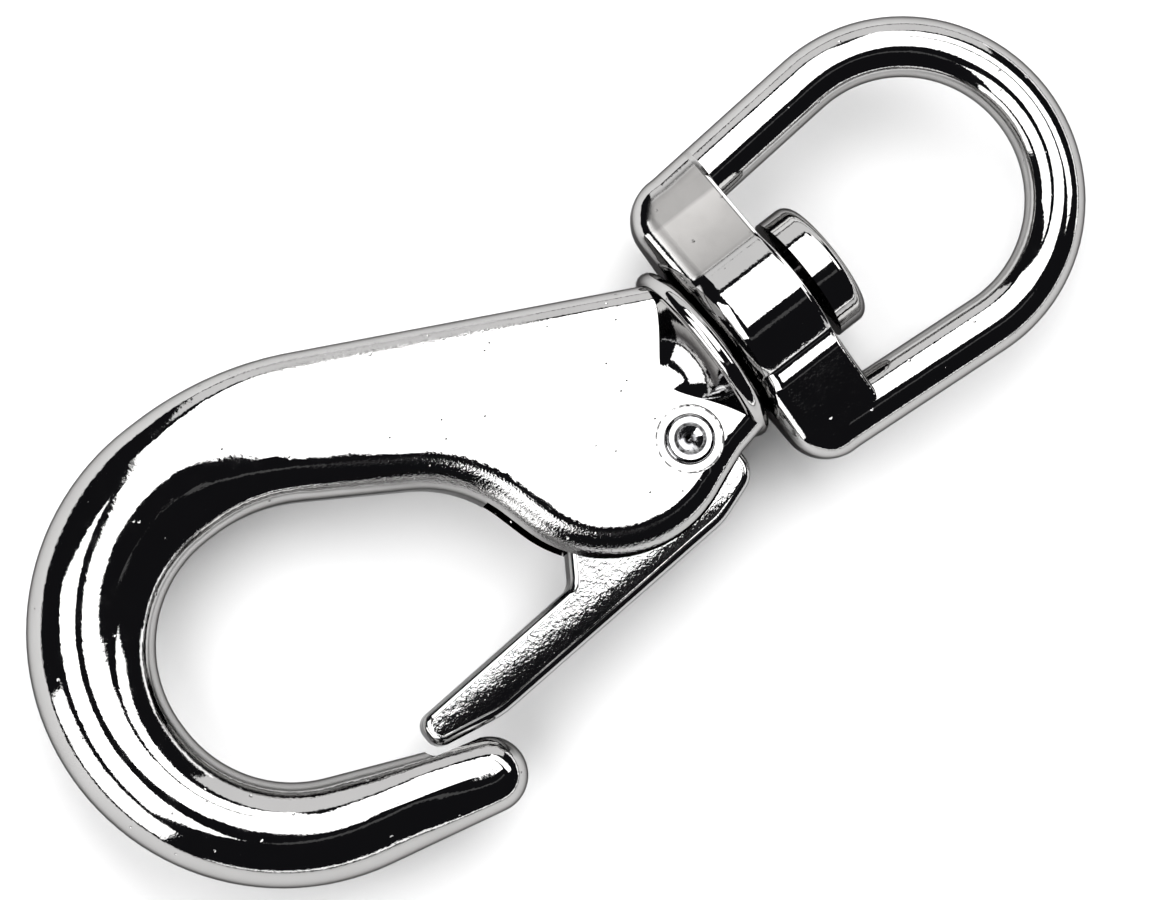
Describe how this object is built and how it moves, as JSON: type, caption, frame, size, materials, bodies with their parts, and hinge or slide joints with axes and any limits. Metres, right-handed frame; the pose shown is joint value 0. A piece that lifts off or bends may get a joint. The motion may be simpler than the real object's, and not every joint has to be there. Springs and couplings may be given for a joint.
{
  "type": "swivel snap hook",
  "caption": "Cast snap hook with a sprung gate across its mouth and a closed eye that swivels on a headed stud.",
  "frame": {"origin": "on the swivel axis, at the centre of the eye's bow", "axes": "+X along the swivel axis from the hook to the eye, +Y towards the back of the shank, +Z square to the hook's flat cheeks"},
  "size_m": [0.1147, 0.0506, 0.0192],
  "materials": {
    "polished_plate": "polished bright plate on a casting",
    "tumbled_plate": "bright plate over a grainy cast surface",
    "rivet_steel": "rolled bright steel",
    "spring_steel": "drawn stainless wire"
  },
  "bodies": {
    "hook": {"hook_body": "polished_plate", "gate_rivet": "rivet_steel", "swivel_stud": "polished_plate"},
    "gate": {"gate": "tumbled_plate", "gate_spring": "spring_steel"},
    "eye": {"swivel_eye": "polished_plate"}
  },
  "joints": [
    {"name": "gate_hinge", "type": "hinge", "parent": "hook", "child": "gate", "pos_m": [-0.0317, -0.0056, 0], "axis": [0, 0, -1], "range_deg": [0, 30], "stiffness_Nm_per_rad": 0.2, "springref_deg": -28.65, "deforming": ["gate_spring"]},
    {"name": "eye_swivel", "type": "hinge", "parent": "hook", "child": "eye", "pos_m": [-0.0188, 0, 0], "axis": [1, 0, 0], "continuous": true}
  ]
}
